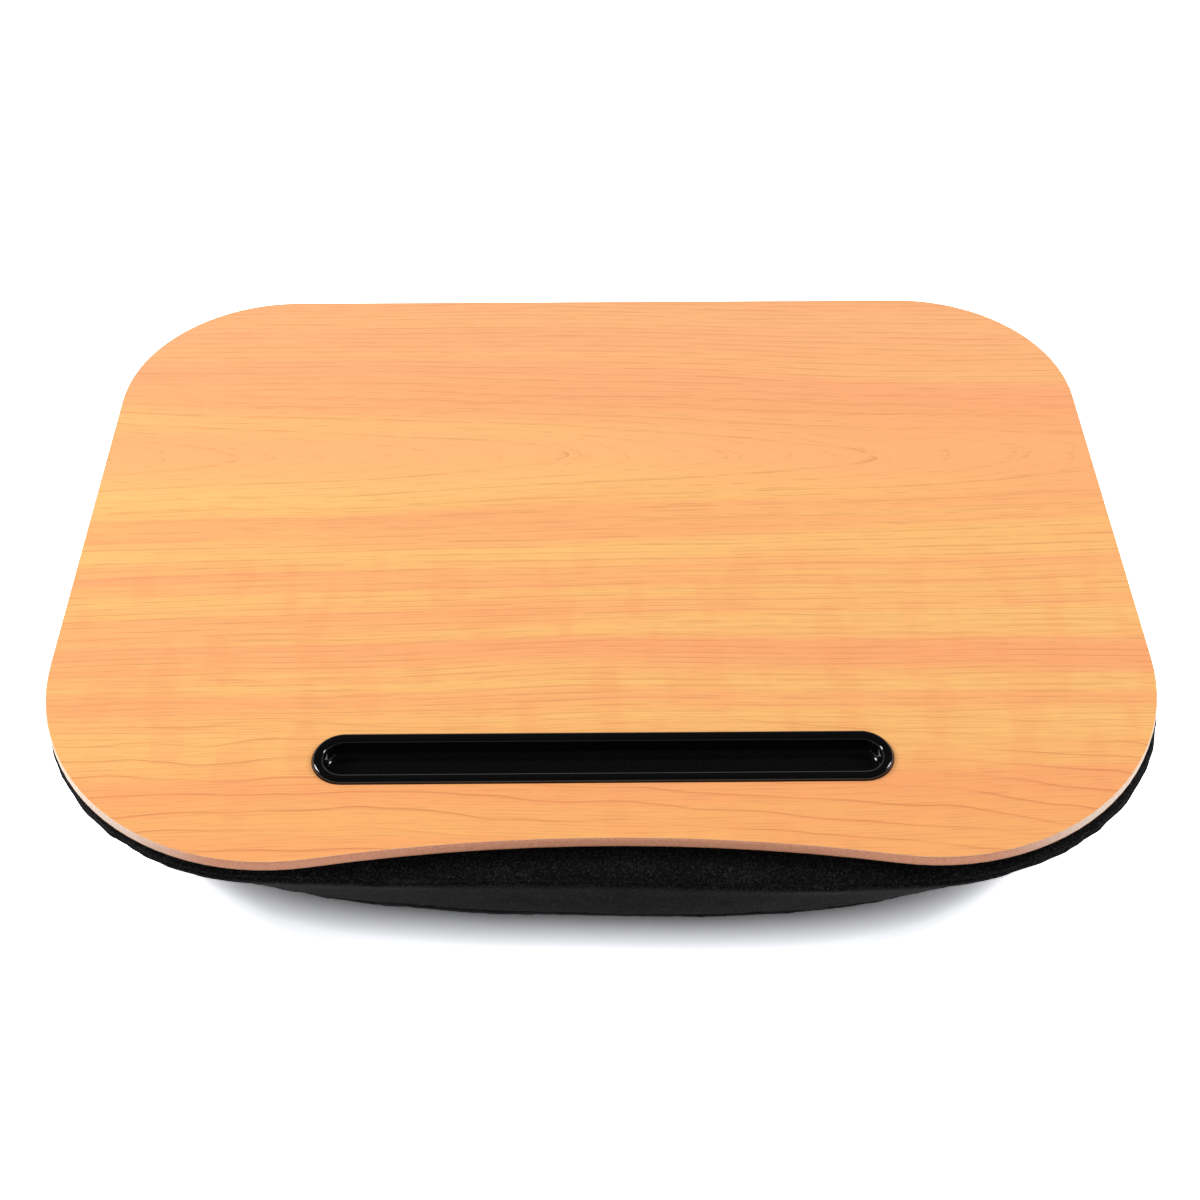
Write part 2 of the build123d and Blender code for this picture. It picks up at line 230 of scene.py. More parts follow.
def printed_woodgrain_foil():
    """Decor paper printed as cherry and pressed on under a satin lacquer: fine broken lines, no relief, a soft shine.

    The print is that of a plain-sawn plank. Its rings are cut at a slant, so they close in long arches that point
    right along a line behind the middle, and run nearly straight on both sides of it.
    """
    material, tree = new_material("printed_woodgrain_foil")
    place = add(tree, "TexCoord", give="Object")
    along = add(tree, "SeparateXYZ", {"Vector": place}, give="X")
    across = add(tree, "SeparateXYZ", {"Vector": place}, give="Y")

    # Distance from the pith: 84 mm under the arches, and 19 mm further for each metre to the right
    sway = add(tree, "VectorMath", {0: place, 1: (3.4, 8.0, 0.0), 2: (3.3, 1.6, 0.0)}, operation="MULTIPLY_ADD")
    sway = add(tree, "TexNoise", {"Vector": sway, "Scale": 1.0, "Detail": 1.0}, **FLAT)
    from_arches = add(tree, "Math", {0: across, 1: 0.0655}, operation="SUBTRACT")
    from_arches = add(tree, "Math", {0: sway, 1: 0.015, 2: from_arches}, operation="MULTIPLY_ADD")
    aside = add(tree, "Math", {0: from_arches}, operation="ABSOLUTE")
    depth = add(tree, "Math", {0: along, 1: 0.0192, 2: 0.0842}, operation="MULTIPLY_ADD")
    section = add(tree, "CombineXYZ", {"X": from_arches, "Y": depth})
    pith = add(tree, "VectorMath", {0: section}, give="Value", operation="LENGTH")
    grain = add(tree, "CombineXYZ", {"X": along, "Y": pith, "Z": from_arches})
    swayed = add(tree, "CombineXYZ", {"X": along, "Y": from_arches})

    # Uneven print: what each noise follows, its spots per metre along and across, its start, detail and roughness
    noises = {}
    for name, follows, often, begin, detail, roughness in (
        ("patches", place, (52.0, 22.0, 0.0), (5.1, 2.5, 0.0), 1.0, 0.5),
        ("wobble", swayed, (6.0, 40.0, 0.0), (8.8, 4.4, 0.0), 2.0, 0.5),
        ("breaks", swayed, (20.0, 260.0, 0.0), (2.6, 1.3, 0.0), 3.0, 0.65),
        ("pores", swayed, (48.0, 760.0, 0.0), (4.4, 2.2, 0.0), 2.0, 0.6),
        ("fall", place, (5.2, 3.0, 0.0), (6.1, 3.0, 0.0), 0.0, 0.5),
        ("wave", place, (17.0, 34.0, 0.0), (1.1, 0.5, 0.0), 1.5, 0.5),
        ("fade", place, (9.0, 60.0, 0.0), (9.4, 4.7, 0.0), 1.0, 0.5),
    ):
        spot = add(tree, "VectorMath", {0: follows, 1: often, 2: begin}, operation="MULTIPLY_ADD")
        uneven = {"Vector": spot, "Scale": 1.0, "Detail": detail, "Roughness": roughness}
        noises[name] = add(tree, "TexNoise", uneven, **FLAT)

    # How strongly each shows: what it goes by, from where, to where, and its least and most
    shares = {}
    for name, goes_by, begin, end, least, most in (
        ("back", across, 0.02, 0.17, 0.0, 0.7),
        ("heart", aside, 0.034, 0.006, 0.0, 0.55),
        ("front", across, -0.07, -0.17, 0.0, 0.6),
        ("patches", noises["patches"], 0.50, 0.66, 0.0, 0.26),
        ("patch_zone", across, 0.01, -0.03, 0.0, 1.0),
        ("breaks", noises["breaks"], 0.36, 0.62, 0.08, 0.66),
        ("behind", across, -0.145, -0.085, 0.25, 1.0),
        ("pores", noises["pores"], 0.40, 0.66, 0.0, 0.58),
        ("fade", noises["fade"], 0.32, 0.56, 0.2, 0.95),
        ("growth_zone", across, -0.095, -0.128, 0.0, 0.9),
    ):
        step = {"Value": goes_by, "From Min": begin, "From Max": end, "To Min": least, "To Max": most}
        shares[name] = add(tree, "MapRange", step, **SOFT)

    # Broad bands, 8 to 25 mm wide, from salmon pink to honey yellow
    bands = add(tree, "VectorMath", {0: grain, 1: (1.1, 58.0, 9.0), 2: (1.2, 0.6, 0.0)}, operation="MULTIPLY_ADD")
    bands = add(tree, "TexNoise", {"Vector": bands, "Scale": 1.0, "Detail": 3.0, "Roughness": 0.55})
    tones = [(0.36, "#FFAC71"), (0.47, "#FFB672"), (0.53, "#FFBE73"), (0.65, "#FFC777")]
    wood = add(tree, "ValToRGB", {"Fac": bands}, stops=tones)

    # Pinker at the back, rosy round the arches, more orange in front, and faint upright patches, 10 to 20 mm wide
    upright = add(tree, "Math", {0: shares["patches"], 1: shares["patch_zone"]}, operation="MULTIPLY")
    for share, code in (
        (shares["back"], "#FFB180"),
        (shares["heart"], "#FFB378"),
        (shares["front"], "#FFAD66"),
        (upright, "#FDA668"),
    ):
        wood = add(tree, "Mix", {0: share, 6: wood, 7: colour(code)}, **TINT)

    # The print's lines keep their width where the rings spread out, towards the arches
    spread = add(tree, "Math", {0: aside, 1: 0.006}, operation="MAXIMUM")
    spread = add(tree, "Math", {0: pith, 1: spread}, operation="DIVIDE")
    calm = add(tree, "Math", {0: noises["wobble"], 1: spread}, operation="DIVIDE")
    wide = add(tree, "MapRange", {"Value": spread, "From Min": 1.5, "From Max": 2.6, "To Max": 0.8}, **SOFT)

    # Ring edges 3 mm apart, each a line 0.5 mm wide, fading out and back in every 20 to 60 mm. Between them, rows of
    # pores 1.4 mm apart: real pores are 0.1 mm wide, and these are 0.4 mm, so that they show. Closer rows fill the
    # wide rings of the arches
    for per_metre, bent_by, bend, sharpness, one, other, code in (
        (333.0, calm, 1.8, 5.0, shares["breaks"], shares["behind"], "#D18852"),
        (700.0, calm, 5.0, 2.6, shares["pores"], 1.0, "#D8905A"),
        (1900.0, noises["wobble"], 2.4, 1.3, wide, shares["pores"], "#D58C58"),
    ):
        bent = add(tree, "Math", {0: bent_by, 1: bend}, operation="MULTIPLY")
        phase = add(tree, "Math", {0: pith, 1: per_metre, 2: bent}, operation="MULTIPLY_ADD")
        phase = add(tree, "Math", {0: phase}, operation="FRACT")
        thin = add(tree, "Math", {0: spread, 1: sharpness}, operation="MULTIPLY")
        line = add(tree, "Math", {0: phase, 1: thin}, operation="POWER")
        line = add(tree, "Math", {0: line, 1: one}, operation="MULTIPLY")
        line = add(tree, "Math", {0: line, 1: other}, operation="MULTIPLY")
        wood = add(tree, "Mix", {0: line, 6: wood, 7: colour(code)}, **TINT)

    # Wavy growth lines 9 mm apart in front, brown-red, falling to the right
    waved = across
    for way, amount in ((along, 0.10), (noises["fall"], 0.030), (noises["wave"], 0.009)):
        waved = add(tree, "Math", {0: way, 1: amount, 2: waved}, operation="MULTIPLY_ADD")
    turns = add(tree, "Math", {0: waved, 1: 112.0}, operation="MULTIPLY")
    turns = add(tree, "Math", {0: turns}, operation="FRACT")
    growth = add(tree, "Math", {0: turns, 1: 20.0}, operation="POWER")
    for share in (shares["fade"], shares["growth_zone"]):
        growth = add(tree, "Math", {0: growth, 1: share}, operation="MULTIPLY")
    wood = add(tree, "Mix", {0: growth, 6: wood, 7: colour("#CF7043")}, **TINT)

    # The paper's cut edge is unprinted
    facing = add(tree, "TexCoord", give="Normal")
    facing = add(tree, "SeparateXYZ", {"Vector": facing}, give="Z")
    cut_edge = add(tree, "Math", {0: facing, 1: 0.5}, operation="LESS_THAN")
    wood = add(tree, "Mix", {0: cut_edge, 6: wood, 7: colour("#F3CFA8")}, **TINT)
    shader = add(tree, "BsdfPrincipled", {"Base Color": wood, "Roughness": 0.42, "Specular IOR Level": 0.35})
    add(tree, "OutputMaterial", {"Surface": shader})
    return material


def raw_mdf():
    """Medium-density fibreboard, cut by a router and left raw: salmon tan fibres, matt, with the cutter's marks and a
    painted highlight towards the ends.
    """
    material, tree = new_material("raw_mdf")
    place = add(tree, "TexCoord", give="Object")
    along = add(tree, "SeparateXYZ", {"Vector": place}, give="X")
    height = add(tree, "SeparateXYZ", {"Vector": place}, give="Z")
    fibres = add(tree, "TexNoise", {"Vector": place, "Scale": 1300.0, "Detail": 3.0, "Roughness": 0.6})
    shade = add(tree, "MapRange", {"Value": fibres, "From Min": 0.3, "From Max": 0.7})
    # The edge's own tan, and a near-white painted highlight that takes over towards the left and right ends
    front = add(tree, "Mix", {0: shade, 6: colour("#D58C6C"), 7: colour("#F0AE8C")}, **TINT)
    highlight_tan = add(tree, "Mix", {0: shade, 6: colour("#F1D2BA"), 7: colour("#FFF0E0")}, **TINT)
    corner_highlight_share = add(tree, "Math", {0: along}, operation="ABSOLUTE")
    corner_highlight_share = add(tree, "MapRange", {"Value": corner_highlight_share, "From Min": 0.15, "From Max": 0.205}, **SOFT)
    tan = add(tree, "Mix", {0: corner_highlight_share, 6: front, 7: highlight_tan}, **TINT)

    # The edge's lowest millimetre is drawn darker
    low = add(tree, "MapRange", {"Value": height, "From Min": 0.0522, "From Max": 0.0512, "To Max": 0.45})
    tan = add(tree, "Mix", {0: low, 6: tan, 7: colour("#A86850")}, **TINT)

    # Slanted marks of the router cutter, 2.2 mm apart, at the left corners
    slant = add(tree, "Math", {0: height, 1: 0.9, 2: along}, operation="MULTIPLY_ADD")
    slant = add(tree, "Math", {0: slant, 1: 2850.0}, operation="MULTIPLY")
    chatter = add(tree, "Math", {0: slant}, operation="SINE")
    marks = add(tree, "MapRange", {"Value": chatter, "From Min": 0.2, "From Max": 0.9})
    patchy = add(tree, "TexNoise", {"Vector": place, "Scale": 60.0, "Detail": 2.0})
    patchy = add(tree, "MapRange", {"Value": patchy, "From Min": 0.35, "From Max": 0.6, "To Max": 0.8})
    starts = add(tree, "MapRange", {"Value": along, "From Min": -0.215, "From Max": -0.195})
    ends = add(tree, "MapRange", {"Value": along, "From Min": -0.125, "From Max": -0.15})
    for share in (patchy, starts, ends):
        marks = add(tree, "Math", {0: marks, 1: share}, operation="MULTIPLY")
    tan = add(tree, "Mix", {0: marks, 6: tan, 7: colour("#C98A6C")}, **TINT)
    bump = add(tree, "Bump", {"Height": fibres, "Strength": 0.25, "Distance": 0.0003})
    shader = add(tree, "BsdfPrincipled", {"Base Color": tan, "Roughness": 0.85, "Normal": bump})
    add(tree, "OutputMaterial", {"Surface": shader})
    return material


def brown_backing_foil():
    """Paper backing foil, printed plain and pressed on: flat brown with a faint paper grain and fine scuffs."""
    material, tree = new_material("brown_backing_foil")
    place = add(tree, "TexCoord", give="Object")
    paper = add(tree, "TexNoise", {"Vector": place, "Scale": 700.0, "Detail": 4.0, "Roughness": 0.65})
    brown = add(tree, "ValToRGB", {"Fac": paper}, stops=[(0.3, "#9C6B45"), (0.7, "#B98256")])
    scuff_place = add(tree, "VectorMath", {0: place, 1: (14.0, 260.0, 1.0)}, operation="MULTIPLY")
    scuffs = add(tree, "TexNoise", {"Vector": scuff_place, "Scale": 1.0, "Detail": 2.0})
    scuffs = add(tree, "MapRange", {"Value": scuffs, "From Min": 0.62, "From Max": 0.75, "To Max": 0.3})
    brown = add(tree, "Mix", {0: scuffs, 6: brown, 7: colour("#CFA07A")}, **TINT)
    shader = add(tree, "BsdfPrincipled", {"Base Color": brown, "Roughness": 0.55})
    add(tree, "OutputMaterial", {"Surface": shader})
    return material


def black_moulded_abs():
    """Black ABS from a polished mould: deep black and glossy, with the mould's faint waviness in its reflections."""
    material, tree = new_material("black_moulded_abs")
    place = add(tree, "TexCoord", give="Object")
    wave = add(tree, "TexNoise", {"Vector": place, "Scale": 90.0, "Detail": 2.0})
    gloss = add(tree, "MapRange", {"Value": wave, "From Min": 0.3, "From Max": 0.7, "To Min": 0.05, "To Max": 0.09})
    specks = add(tree, "TexNoise", {"Vector": place, "Scale": 900.0, "Detail": 2.0})
    black = add(tree, "ValToRGB", {"Fac": specks}, stops=[(0.55, "#09090A"), (0.80, "#141416")])
    bump = add(tree, "Bump", {"Height": wave, "Strength": 0.02, "Distance": 0.0003})
    shader = add(tree, "BsdfPrincipled", {"Base Color": black, "Roughness": gloss, "Normal": bump, "IOR": 1.53})
    add(tree, "OutputMaterial", {"Surface": shader})
    return material


def black_brushed_felt():
    """Needled polyester felt, brushed on its face: soft black, with paler fibre ends in tufts and a low nap."""
    material, tree = new_material("black_brushed_felt")
    place = add(tree, "TexCoord", give="Object")
    # Fibres are 0.02 mm thick. The tufts are drawn 1 mm wide, so that they show
    tufts = add(tree, "TexNoise", {"Vector": place, "Scale": 1050.0, "Detail": 3.0, "Roughness": 0.75})
    drift = add(tree, "TexNoise", {"Vector": place, "Scale": 55.0, "Detail": 2.0})
    nap = add(tree, "Math", {0: drift, 1: 0.10, 2: tufts}, operation="MULTIPLY_ADD")
    tones = [(0.45, "#050505"), (0.56, "#100F11"), (0.66, "#222123"), (0.76, "#39373A")]
    black = add(tree, "ValToRGB", {"Fac": nap}, stops=tones)
    bump = add(tree, "Bump", {"Height": tufts, "Strength": 0.6, "Distance": 0.0006})
    cloth = {"Base Color": black, "Roughness": 0.95, "Normal": bump, "Specular IOR Level": 0.03}
    shader = add(tree, "BsdfPrincipled", {**cloth, "Sheen Weight": 0.06, "Sheen Roughness": 0.5})
    add(tree, "OutputMaterial", {"Surface": shader})
    return material


def black_woven_tape():
    """Zip tape, woven from polyester: black ribs 1 mm apart along the zip, crossed by finer threads."""
    material, tree = new_material("black_woven_tape")
    place = add(tree, "TexCoord", give="Object")
    along = add(tree, "SeparateXYZ", {"Vector": place}, give="X")
    height = add(tree, "SeparateXYZ", {"Vector": place}, give="Z")
    # Real weft threads are 0.3 mm apart. They are drawn 0.9 mm apart, slanting, so that they show
    slant = add(tree, "Math", {0: height, 1: 0.7, 2: along}, operation="MULTIPLY_ADD")
    weft = add(tree, "Math", {0: slant, 1: 6980.0}, operation="MULTIPLY")
    weft = add(tree, "Math", {0: weft}, operation="SINE")
    ribs = add(tree, "Math", {0: height, 1: 6283.0}, operation="MULTIPLY")
    ribs = add(tree, "Math", {0: ribs}, operation="SINE")
    weave = add(tree, "Math", {0: weft, 1: ribs}, operation="MULTIPLY")
    fuzz = add(tree, "TexNoise", {"Vector": place, "Scale": 1500.0, "Detail": 2.0})
    weave = add(tree, "Math", {0: weave, 1: 0.22, 2: fuzz}, operation="MULTIPLY_ADD")
    black = add(tree, "ValToRGB", {"Fac": weave}, stops=[(0.28, "#0B0B0D"), (0.72, "#29292D")])
    bump = add(tree, "Bump", {"Height": weave, "Strength": 0.6, "Distance": 0.0003})
    shader = add(tree, "BsdfPrincipled", {"Base Color": black, "Roughness": 0.8, "Normal": bump})
    add(tree, "OutputMaterial", {"Surface": shader})
    return material


def grey_woven_lining():
    """Plain-woven polyester lining, threads 0.5 mm apart: pale grey, matt."""
    material, tree = new_material("grey_woven_lining")
    place = add(tree, "TexCoord", give="Object")
    threads = add(tree, "TexNoise", {"Vector": place, "Scale": 1100.0, "Detail": 3.0, "Roughness": 0.6})
    grey = add(tree, "ValToRGB", {"Fac": threads}, stops=[(0.35, "#8F9093"), (0.65, "#B4B5B8")])
    bump = add(tree, "Bump", {"Height": threads, "Strength": 0.5, "Distance": 0.0003})
    shader = add(tree, "BsdfPrincipled", {"Base Color": grey, "Roughness": 0.9, "Normal": bump})
    add(tree, "OutputMaterial", {"Surface": shader})
    return material


def white_foam_beads():
    """Expanded polystyrene beads, 3 mm across: white cells, with painted shade in the gaps between them."""
    material, tree = new_material("white_foam_beads")
    place = add(tree, "TexCoord", give="Object")
    cells = add(tree, "TexVoronoi", {"Vector": place, "Scale": 330.0}, give="Distance")
    # Painted shade: the colour darkens towards each cell's edge, in the gaps between beads
    white = add(tree, "ValToRGB", {"Fac": cells}, stops=[(0.2, "#F4F3EF"), (0.7, "#C9C8C4")])
    bump = add(tree, "Bump", {"Height": cells, "Strength": 0.9, "Distance": -0.001})
    shader = add(tree, "BsdfPrincipled", {"Base Color": white, "Roughness": 0.7, "Normal": bump})
    add(tree, "OutputMaterial", {"Surface": shader})
    return material


def black_nylon_pile():
    """Hook and loop tape, woven from nylon with its pile brushed up: black, in tufts 1.5 mm apart."""
    material, tree = new_material("black_nylon_pile")
    place = add(tree, "TexCoord", give="Object")
    tufts = add(tree, "TexVoronoi", {"Vector": place, "Scale": 670.0, "Randomness": 0.7}, give="Distance")
    fuzz = add(tree, "TexNoise", {"Vector": place, "Scale": 1700.0, "Detail": 2.0})
    pile = add(tree, "Math", {0: fuzz, 1: 0.5, 2: tufts}, operation="MULTIPLY_ADD")
    black = add(tree, "ValToRGB", {"Fac": pile}, stops=[(0.45, "#3A3A3F"), (0.95, "#0C0C0E")])
    bump = add(tree, "Bump", {"Height": pile, "Strength": 0.8, "Distance": -0.0006})
    shader = add(tree, "BsdfPrincipled", {"Base Color": black, "Roughness": 0.75, "Normal": bump})
    add(tree, "OutputMaterial", {"Surface": shader})
    return material


def black_sewing_thread():
    """Spun polyester thread, two plies twisted: charcoal, with a slanting ply every 0.8 mm."""
    material, tree = new_material("black_sewing_thread")
    place = add(tree, "TexCoord", give="Object")
    slant = add(tree, "VectorMath", {0: place, 1: (1.0, 1.0, 1.6)}, give="Value", operation="DOT_PRODUCT")
    plies = add(tree, "Math", {0: slant, 1: 7850.0}, operation="MULTIPLY")
    plies = add(tree, "Math", {0: plies}, operation="SINE")
    charcoal = add(tree, "ValToRGB", {"Fac": plies}, stops=[(0.1, "#1B1B1E"), (0.9, "#3B3B40")])
    shader = add(tree, "BsdfPrincipled", {"Base Color": charcoal, "Roughness": 0.7})
    add(tree, "OutputMaterial", {"Surface": shader})
    return material


def black_moulded_acetal():
    """Zip teeth, moulded in black acetal: satin, slightly uneven in gloss."""
    material, tree = new_material("black_moulded_acetal")
    place = add(tree, "TexCoord", give="Object")
    grain = add(tree, "TexNoise", {"Vector": place, "Scale": 2200.0, "Detail": 2.0})
    black = add(tree, "ValToRGB", {"Fac": grain}, stops=[(0.3, "#131315"), (0.7, "#212125")])
    gloss = add(tree, "MapRange", {"Value": grain, "From Min": 0.3, "From Max": 0.7, "To Min": 0.30, "To Max": 0.45})
    shader = add(tree, "BsdfPrincipled", {"Base Color": black, "Roughness": gloss})
    add(tree, "OutputMaterial", {"Surface": shader})
    return material


def black_painted_zinc():
    """Die-cast zinc, dipped in black paint: smooth gloss, with paint worn thin in fine specks."""
    material, tree = new_material("black_painted_zinc")
    place = add(tree, "TexCoord", give="Object")
    wear = add(tree, "TexNoise", {"Vector": place, "Scale": 1200.0, "Detail": 4.0, "Roughness": 0.7})
    black = add(tree, "ValToRGB", {"Fac": wear}, stops=[(0.40, "#151518"), (0.64, "#26262A"), (0.74, "#6E6E74")])
    gloss = add(tree, "MapRange", {"Value": wear, "From Min": 0.3, "From Max": 0.7, "To Min": 0.22, "To Max": 0.38})
    shader = add(tree, "BsdfPrincipled", {"Base Color": black, "Roughness": gloss, "Metallic": 0.4})
    add(tree, "OutputMaterial", {"Surface": shader})
    return material


finishes = {
    "woodgrain_foil": printed_woodgrain_foil(),
    "board_core": raw_mdf(),
    "backing_foil": brown_backing_foil(),
    "pen_tray": black_moulded_abs(),
    "felt": black_brushed_felt(),
    "tape": black_woven_tape(),
    "bag": grey_woven_lining(),
    "beads": white_foam_beads(),
    "hook_and_loop": black_nylon_pile(),
    "thread": black_sewing_thread(),
    "zip_plastic": black_moulded_acetal(),
    "zip_metal": black_painted_zinc(),
}

node_finishes = {
    "backing_foil": "backing_foil",
    "hook_strips": "hook_and_loop",
    "loop_strips": "hook_and_loop",
    "zip_tape_upper": "tape",
    "zip_tape_lower": "tape",
    "zip_teeth_upper": "zip_plastic",
    "zip_teeth_lower": "zip_plastic",
    "zip_top_stops": "zip_plastic",
    "zip_bottom_stop": "zip_plastic",
    "zip_slider": "zip_metal",
    "zip_pull": "zip_metal",
}


def dress(obj, finish):
    obj.data.materials.clear()
    obj.data.materials.append(finishes[finish])


for node, finish in node_finishes.items():
    dress(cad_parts[node], finish)


# The board's upper arris, which the router breaks with a small bevel. The edge round the pen tray stays sharp

ARRIS = 0.0005
SHARP_HALF_LENGTH = 0.125
SHARP_HALF_WIDTH = 0.02


def make_board():
    """The core with its upper arris bevelled, and the foil trimmed back to the bevel."""
    core = copy_of_node("board_core", "mdf_board")
    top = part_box("board_core")[1][2]
    edit(core, everything=True)
    cut(height=top - ARRIS)
    close_edit()
    foil = copy_of_node("woodgrain_foil", "printed_foil")
    for obj in (core, foil):
        outward = normals(obj)[:, :2]
        outward /= np.maximum(np.linalg.norm(outward, axis=1, keepdims=True), TINY)
        spots = places(obj)
        x, y, z = spots.T
        by_pen_tray = (abs(y - PEN_TRAY_Y) < SHARP_HALF_WIDTH) & (abs(x) < SHARP_HALF_LENGTH)
        trimmed = (z > top - ARRIS / 2) & ~by_pen_tray
        spots[:, :2] -= outward * (trimmed * ARRIS)[:, None]
        put(obj, spots)
        smooth(obj, 20)
    for obj, node, slot in ((core, "board_core", "mdf"), (foil, "woodgrain_foil", "woodgrain_foil")):
        dress(obj, node)
        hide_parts(node)
        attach(obj, "tray")


# The pen tray: one ring of points, extruded along the section from the underside to the well's floor


def arc(middle, radii, start, end, count):
    """Points round an arc, from one turn to another, in degrees up from straight outwards."""
    turns = [math.radians(start + (end - start) * number / (count - 1)) for number in range(count)]
    return [(middle[0] + radii[0] * math.cos(turn), middle[1] + radii[1] * math.sin(turn)) for turn in turns]


def pen_tray_section():
    """The section from the middle of the underside, round the rim, to the middle of the well's floor.

    Each point is its distance from the pen tray's middle line, and its height.
    """
    top = BOARD_TOP
    out = PEN_HALF_WIDTH
    underside = [(0.0030, top - 0.0071), (0.0050, top - 0.0071)]
    underside += arc((0.0052, top - 0.0039), (0.0032, 0.0032), -80, -8, 5)
    seat = [(0.0094, top - 0.0009), (0.0097, top - 0.0008), (out - 0.0003, top - 0.0008), (out, top - 0.0006)]
    rim = [(out, top + 0.0001)]
    rim += arc((out - 0.0017, top + 0.0001), (0.0017, 0.0017), 8, 90, 9)
    rim += arc((out - 0.0023, top + 0.0002), (0.0024, 0.0016), 90, 180, 9)
    well = [(0.0081, top - 0.0010), (0.00795, top - 0.0032)]
    well += arc((0.0053, top - 0.0034), (0.0026, 0.0025), 0, -90, 7)
    well += [(0.0030, top - 0.0059)]
    return underside + seat + rim + well


def make_pen_tray():
    section = pen_tray_section()
    radius, height = section[0]
    bpy.ops.mesh.primitive_circle_add(vertices=64, radius=radius, location=(0, PEN_TRAY_Y, height))
    obj = bpy.context.object
    obj.name = "pen_tray_moulding"
    settle(obj)
    edit(obj)
    select_points(obj, lambda p: p.x > SAME_PLACE)
    bpy.ops.transform.translate(value=(PEN_HALF_STRAIGHT, 0, 0))
    select_points(obj, lambda p: p.x <= SAME_PLACE)
    bpy.ops.transform.translate(value=(-PEN_HALF_STRAIGHT, 0, 0))
    bpy.ops.mesh.select_all(action="SELECT")
    bpy.ops.mesh.edge_face_add()
    for new_radius, new_height in section[1:]:
        bpy.ops.mesh.extrude_region_move(TRANSFORM_OT_translate={"value": (0, 0, new_height - height)})
        scale = new_radius / radius
        bpy.ops.object.mode_set(mode="OBJECT")
        ring = [v for v in obj.data.vertices if v.select]
        for side in (1, -1):
            middle = Vector((PEN_HALF_STRAIGHT * side, PEN_TRAY_Y, new_height))
            for v in ring:
                if v.co.x * side > 0:
                    v.co = middle + (v.co - middle) * scale
        bpy.ops.object.mode_set(mode="EDIT")
        radius, height = new_radius, new_height
    bpy.ops.mesh.select_all(action="SELECT")
    bpy.ops.mesh.normals_make_consistent(inside=False)
    close_edit()
    smooth(obj, 50)
    dress(obj, "pen_tray")
    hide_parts("pen_tray")
    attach(obj, "tray")


# The cushion: the bead filling's form, swollen by cloth pressure between its seams

# The back, with the flat seat that the zip is sewn to
BACK_FACE = 0.17955
BACK_BULGE = 0.001
BACK_ZONE = 0.14
ZIP_SEAT_HALF = 0.0145

# The form: its mesh's cell, its steps out from the beads and out at the back, and how it is swollen and evened
FORM_CELL = 0.005
COVER_OVER_BEADS = 0.0027
BACK_STEP = 0.003
HELD_BY_SEAM = 0.0028
SWELL_MOST = 0.0028
SWELL_FRAMES = 20
SLID_BEADS = 0.0042
EVENINGS = 12

# What is inside the cover
BAG_INSET = 0.0033
BAG_THICKNESS = 0.0006
BEADS_INSET = 0.0043

# The cover: its rise between the strips, its seam valleys with their depths, and how far waver and lint move it
TOP_RISE = 0.0017
SEAM_RING = 0.0016
VALLEY_HALF_WIDTH = 0.0011
VALLEYS = ((LOWER_SEAM, 0.0011), (UPPER_SEAM, 0.0009))
WAVER = 0.0007
LINT = 0.0003


def hold_seams(obj, spots):
    """A vertex group that pins the two seams."""
    group = obj.vertex_groups.new(name="seams")
    near = np.minimum(abs(spots[:, 2] - LOWER_SEAM), abs(spots[:, 2] - UPPER_SEAM))
    held = [int(index) for index in np.flatnonzero(near < HELD_BY_SEAM)]
    group.add(held, 1.0, "REPLACE")


def swell(obj, most):
    """Blows the form up from inside with the two seams held, and moves no point further than most."""
    start = places(obj)
    hold_seams(obj, start)
    pick(obj)
    bpy.ops.object.modifier_add(type="CLOTH")
    cloth = obj.modifiers[-1]
    cloth.settings.vertex_group_mass = "seams"
    cloth.settings.use_pressure = True
    cloth.settings.uniform_pressure_force = 4
    cloth.settings.effector_weights.gravity = 0
    cloth.settings.quality = 4
    cloth.settings.tension_stiffness = 20
    cloth.settings.compression_stiffness = 20
    cloth.settings.bending_stiffness = 2
    cloth.point_cache.frame_start = 1
    cloth.point_cache.frame_end = SWELL_FRAMES
    for number in range(1, SWELL_FRAMES + 1):
        bpy.context.scene.frame_set(number)
    bpy.ops.object.modifier_apply(modifier=cloth.name)
    bpy.context.scene.frame_set(1)
    moved = places(obj) - start
    far = np.linalg.norm(moved, axis=1, keepdims=True)
    put(obj, start + moved * np.minimum(1, most / np.maximum(far, TINY)))
    obj.vertex_groups.clear()


def press_top(spots):
    """The board's strips and the pen tray press the top flat, and it rises a little between them."""
    x, y, z = spots.T
    off_strips = ramp(abs(abs(x) - STRIP_X), 0.058, 0.085)
    off_strips += ramp(abs(abs(y - STRIP_ROWS_MIDDLE) - STRIP_ROW_OFF), 0.012, 0.04)
    off_strips = np.minimum(1, off_strips)
    off_tray = np.maximum(ramp(abs(y - PEN_TRAY_Y), 0.012, 0.035), ramp(abs(x), 0.118, 0.14))
    inside = (1 - ramp(abs(x), 0.17, 0.215)) * (1 - ramp(abs(y), 0.11, 0.16))
    spots[:, 2] = np.minimum(z, CUSHION_TOP - HAIR / 2 + TOP_RISE * off_strips * off_tray * inside)
    spots[:, 2] = np.maximum(spots[:, 2], HAIR)


def back_face(off):
    """Where the back of the cover stands, by height from the zip."""
    return BACK_FACE - BACK_BULGE * (off / ZIP_SEAT_HALF) ** 2


def flatten_zip_seat(spots):
    """Brings the back, where the zip is sewn, to its true place."""
    x, y, z = spots.T
    share = (1 - ramp(abs(x), 0.124, 0.155)) * ramp(y, 0.13, 0.16)
    share *= 1 - ramp(abs(z - ZIP_HEIGHT), ZIP_SEAT_HALF, 0.0175)
    spots[:, 1] = y + (back_face(z - ZIP_HEIGHT) - y) * share


